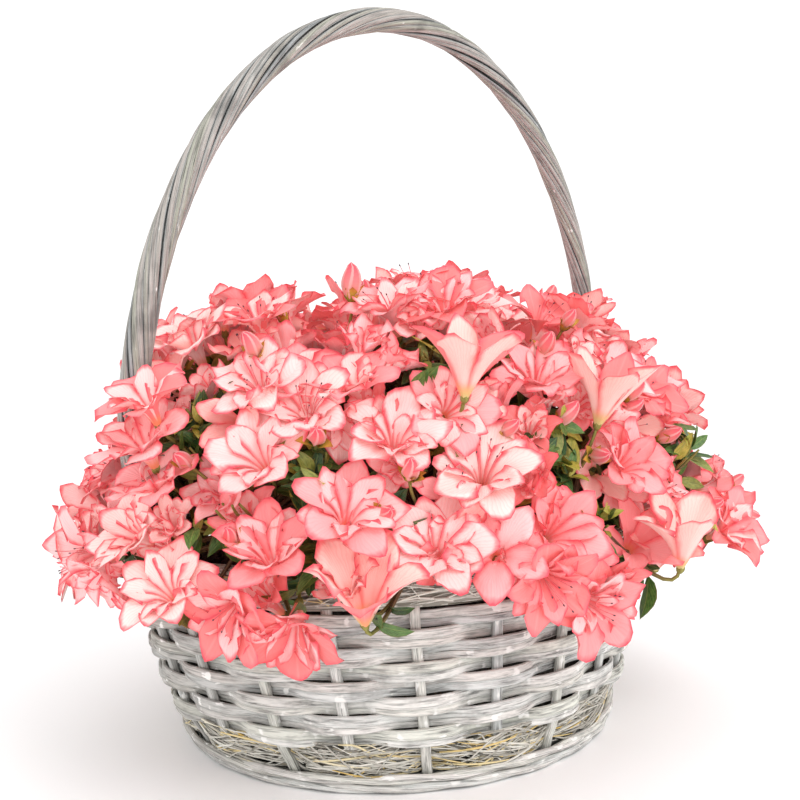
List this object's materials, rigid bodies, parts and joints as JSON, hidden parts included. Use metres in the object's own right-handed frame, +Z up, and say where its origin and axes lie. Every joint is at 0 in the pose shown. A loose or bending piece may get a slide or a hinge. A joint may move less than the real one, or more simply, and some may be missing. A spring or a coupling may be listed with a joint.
{
  "type": "potted azalea shrub",
  "caption": "Flowering azalea shrub in a low oval willow basket with a tall twisted hoop handle; full crown of coral picotee blossom.",
  "frame": {"origin": "middle of the basket's flat underside", "axes": "+Z up, +X along the basket's long axis in the plane of the handle, -Y towards the side that the picture shows more of"},
  "size_m": [0.5238, 0.4453, 0.5125],
  "materials": {
    "willow": "washed grey split willow with pale flecks and dark gaps",
    "handle_willow": "bundle of weathered grey willow rods twisted together",
    "grass_binding": "dry grass strands, grey-green with straw-yellow ones",
    "compost": "dark moist peat with fine fibres",
    "bark": "thin brown bark with lengthwise cracks",
    "blossom": "soft petals, blush centres with coral-rose edges",
    "leaf": "small dark green leaves, some olive and yellow-green"
  },
  "bodies": {
    "root": {"basket_frame": "willow", "foot_rod_1": "willow", "foot_rod_2": "willow", "lower_grass_band": "grass_binding", "weaver_row_1": "willow", "weaver_row_2": "willow", "weaver_row_3": "willow", "weaver_row_4": "willow", "weaver_row_5": "willow", "weaver_row_6": "willow", "weaver_row_7": "willow", "weaver_row_8": "willow", "rim_band": "grass_binding", "hoop_handle": "handle_willow", "root_ball": "compost", "short_stem": "bark", "bough_skirt_1": "bark", "bough_skirt_2": "bark", "bough_skirt_3": "bark", "bough_skirt_4": "bark", "bough_skirt_5": "bark", "bough_skirt_6": "bark", "bough_skirt_7": "bark", "bough_skirt_8": "bark", "bough_skirt_9": "bark", "bough_skirt_10": "bark", "bough_shoulder_1": "bark", "bough_shoulder_2": "bark", "bough_shoulder_3": "bark", "bough_shoulder_4": "bark", "bough_shoulder_5": "bark", "bough_shoulder_6": "bark", "bough_shoulder_7": "bark", "bough_shoulder_8": "bark", "foliage_skirt_1": "blossom", "foliage_skirt_2": "blossom", "foliage_skirt_3": "blossom", "foliage_skirt_4": "blossom", "foliage_skirt_5": "blossom", "foliage_skirt_6": "blossom", "foliage_skirt_7": "blossom", "foliage_skirt_8": "blossom", "foliage_skirt_9": "blossom", "foliage_skirt_10": "blossom", "foliage_shoulder_1": "blossom", "foliage_shoulder_2": "blossom", "foliage_shoulder_3": "blossom", "foliage_shoulder_4": "blossom", "foliage_shoulder_5": "blossom", "foliage_shoulder_6": "blossom", "foliage_shoulder_7": "blossom", "foliage_shoulder_8": "blossom", "foliage_top_1": "blossom", "foliage_top_2": "blossom", "foliage_top_3": "blossom"}
  },
  "joints": []
}
